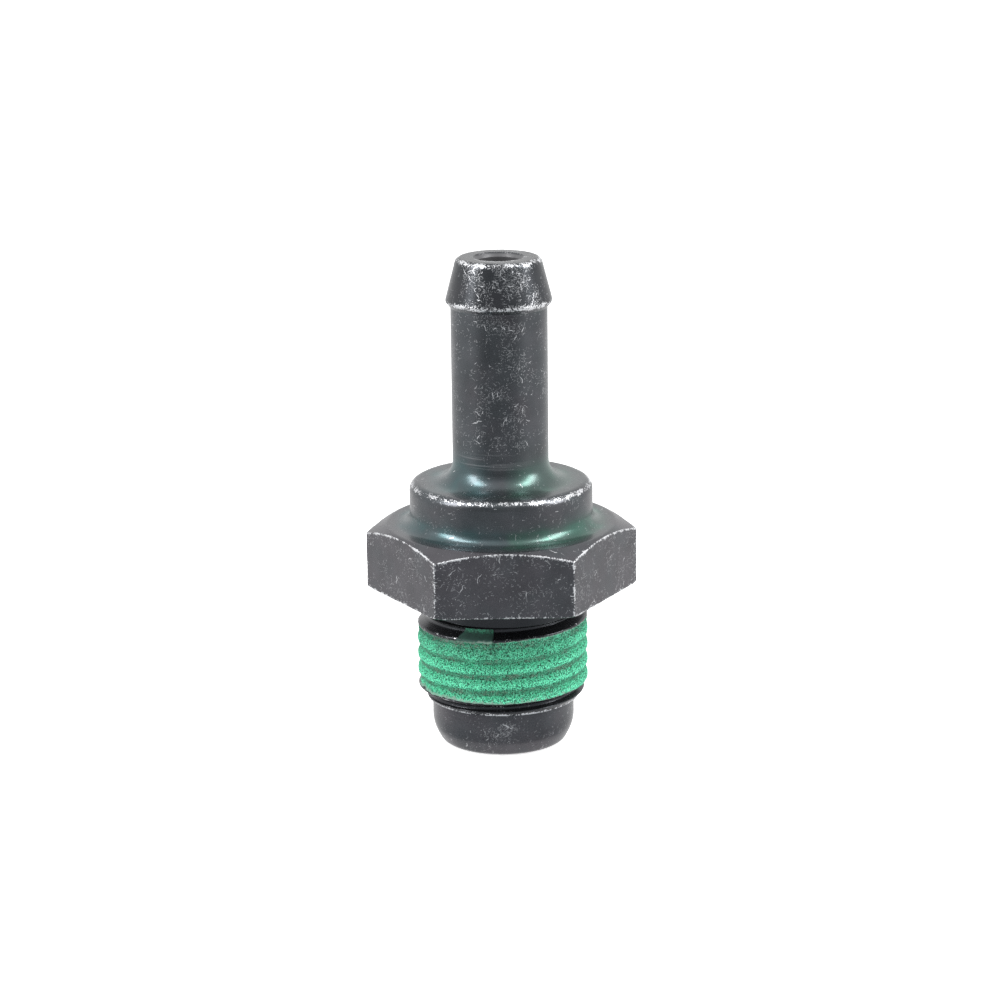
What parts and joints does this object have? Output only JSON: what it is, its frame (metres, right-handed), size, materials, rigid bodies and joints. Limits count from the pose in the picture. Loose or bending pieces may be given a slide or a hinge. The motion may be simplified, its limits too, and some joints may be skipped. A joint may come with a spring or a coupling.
{
  "type": "pcv valve",
  "caption": "Screw-in crankcase ventilation valve of dark plated steel with a barbed hose nipple, hexagon, sealant-coated thread and a sprung metering plunger inside.",
  "frame": {"origin": "centre of the flat lower face of the rolled skirt, on the valve's axis", "axes": "+Z along the axis from the inlet to the hose nipple; a flat of the hexagon faces -Y"},
  "size_m": [0.0254, 0.022, 0.0463],
  "materials": {
    "plated_steel": "dark plated turned steel, satin, worn to bright metal on its edges",
    "sealant": "dried matte green thread sealant, granular",
    "washer_steel": "zinc plated, satin",
    "plunger_steel": "zinc plated, turned",
    "spring_wire": "drawn spring wire"
  },
  "bodies": {
    "body": {"valve_body": "plated_steel", "thread_sealant": "sealant", "seat_washer": "washer_steel", "valve_spring": "spring_wire"},
    "plunger": {"plunger": "plunger_steel"}
  },
  "joints": [
    {"name": "plunger_slide", "type": "slide", "parent": "body", "child": "plunger", "axis": [0, 0, 1], "range_m": [0, 0.0045], "stiffness_N_per_m": 90, "springref_m": -0.006, "deforming": ["valve_spring"]}
  ]
}
